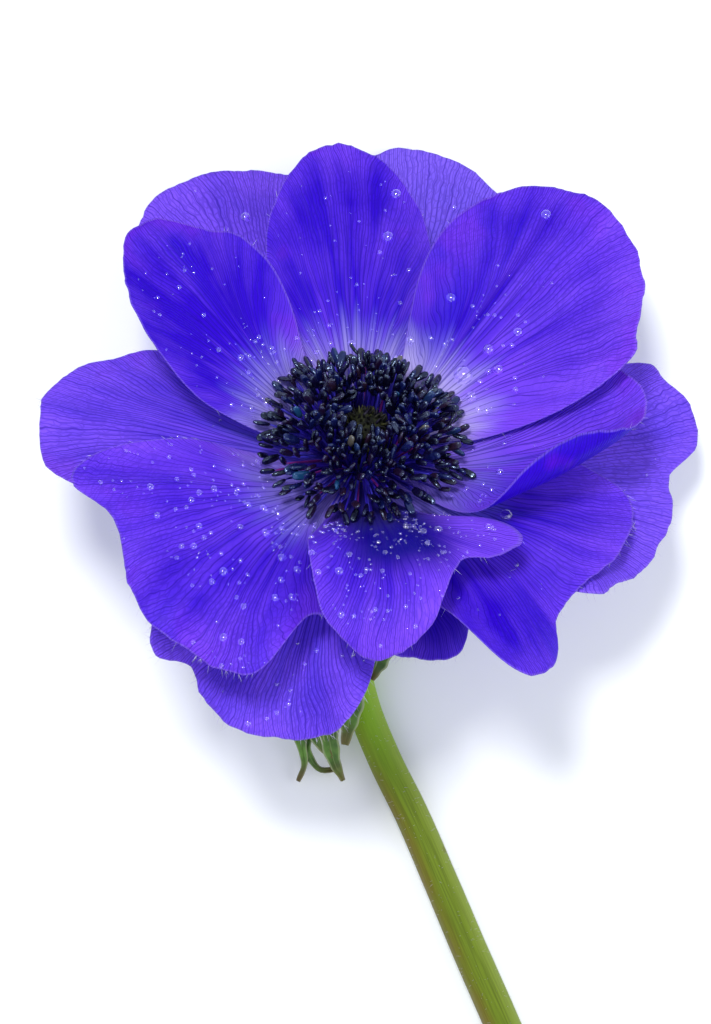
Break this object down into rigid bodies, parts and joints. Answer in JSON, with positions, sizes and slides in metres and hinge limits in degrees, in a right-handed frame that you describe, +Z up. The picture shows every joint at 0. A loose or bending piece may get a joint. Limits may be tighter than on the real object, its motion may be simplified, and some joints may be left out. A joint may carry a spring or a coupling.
{
  "type": "anemone flower",
  "caption": "Semi-double blue-violet anemone flower on a cut stem with leafy bracts, laid on its back with its face up.",
  "frame": {"origin": "centre of the bounding box in plan, on the surface that the flower lies on", "axes": "+Z up, +Y along the length from the stem's cut end to the flower, +X to the right seen from above with the flower at the top"},
  "size_m": [0.0928, 0.1734, 0.0513],
  "materials": {
    "petal": "soft satin petal, saturated violet-blue with darker veins, paler at the base",
    "stem": "smooth yellow-green stalk with fine hairs and a brownish red tint",
    "stamens": "near-black anthers with a soft shine on violet-blue filaments",
    "pistil": "dark green downy carpels",
    "bract": "green leaf with pale edges and brownish tips"
  },
  "bodies": {
    "root": {"petal_top": "petal", "petal_upper_left": "petal", "petal_upper_right": "petal", "petal_right_folded": "petal", "petal_bottom": "petal", "petal_lower_left": "petal", "back_petal_top_left": "petal", "back_petal_top_right": "petal", "back_petal_right": "petal", "back_petal_lower_right": "petal", "back_petal_bottom": "petal", "back_petal_lower_left": "petal", "back_petal_left": "petal", "stem": "stem", "stamens": "stamens", "pistil": "pistil", "bract_left": "bract", "bract_front": "bract", "bract_right": "bract"}
  },
  "joints": []
}
